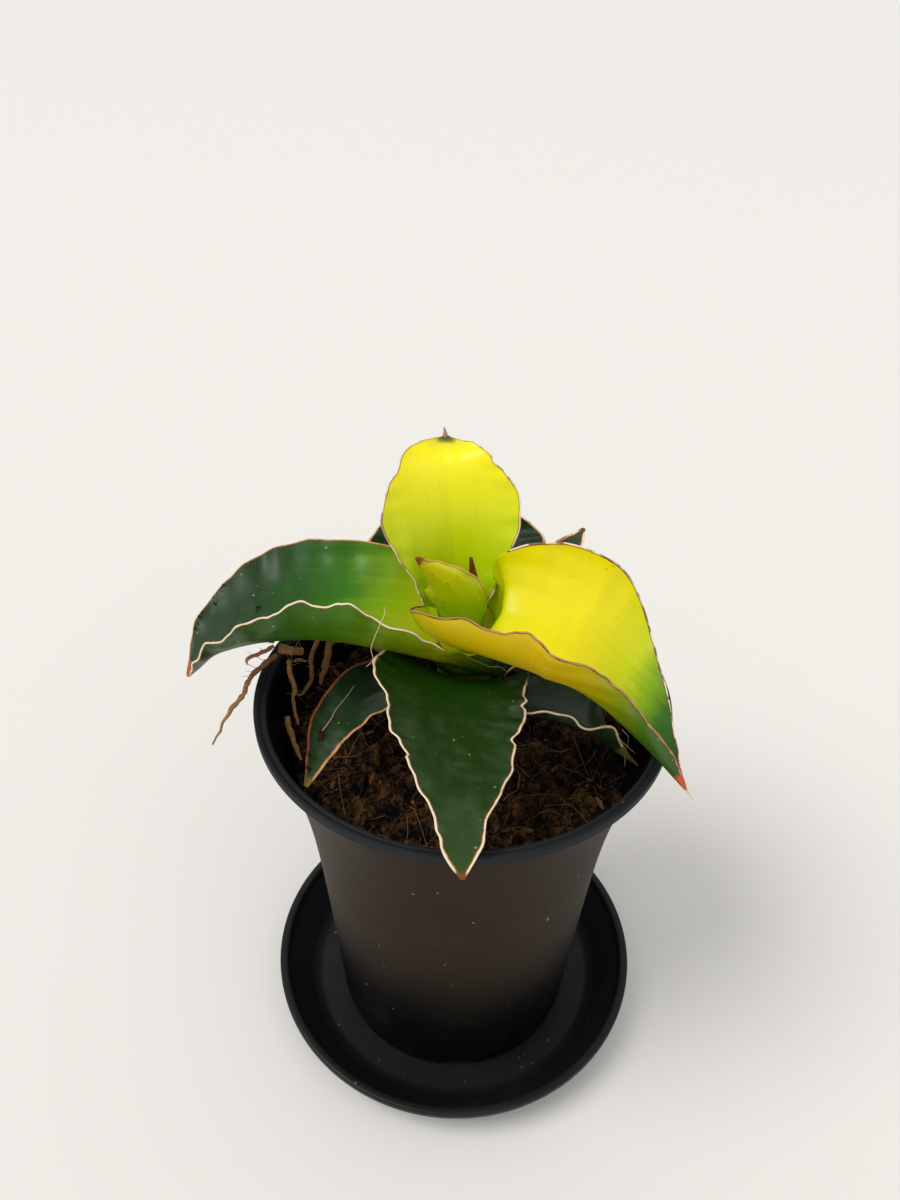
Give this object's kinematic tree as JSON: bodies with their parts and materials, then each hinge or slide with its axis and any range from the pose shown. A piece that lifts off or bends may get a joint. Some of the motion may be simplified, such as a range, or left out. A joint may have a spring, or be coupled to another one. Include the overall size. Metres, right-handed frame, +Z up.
{
  "type": "potted snake plant",
  "caption": "Small rosette snake plant with broad pointed variegated leaves, in a tapered plastic pot filled with coir mix, standing on a round drip saucer.",
  "frame": {"origin": "centre of the saucer's underside, on the pot's axis", "axes": "+Z up along the pot's axis, -Y towards the front leaf and the viewer, +X to the viewer's right"},
  "size_m": [0.1187, 0.1141, 0.1676],
  "materials": {
    "saucer_plastic": "satin black plastic",
    "pot_plastic": "satin brownish black plastic",
    "soil": "coarse coir and bark mix",
    "rootstock": "dry sheath",
    "yellow_leaf": "waxy yellow leaf, green towards the tip",
    "lime_leaf": "waxy lime leaf",
    "green_leaf": "waxy green leaf, yellow towards the base",
    "dark_leaf": "waxy dark green leaf with a pale edge",
    "dry_leaf": "dry brown leaf",
    "root": "dry fibrous root"
  },
  "bodies": {
    "root": {"saucer": "saucer_plastic", "pot": "pot_plastic", "soil": "soil", "rootstock": "rootstock", "leaf_upright": "yellow_leaf", "leaf_young": "lime_leaf", "leaf_spike": "dry_leaf", "leaf_left": "green_leaf", "leaf_right": "yellow_leaf", "leaf_front": "dark_leaf", "leaf_front_left": "dark_leaf", "leaf_low_right": "dark_leaf", "leaf_back": "dark_leaf", "leaf_back_right": "dark_leaf", "root_knot": "root", "root_over_rim": "root", "root_hook": "root", "root_stub": "root", "root_inner": "root", "root_bent": "root", "root_link": "root", "root_thick": "root", "root_wall": "root"}
  },
  "joints": []
}
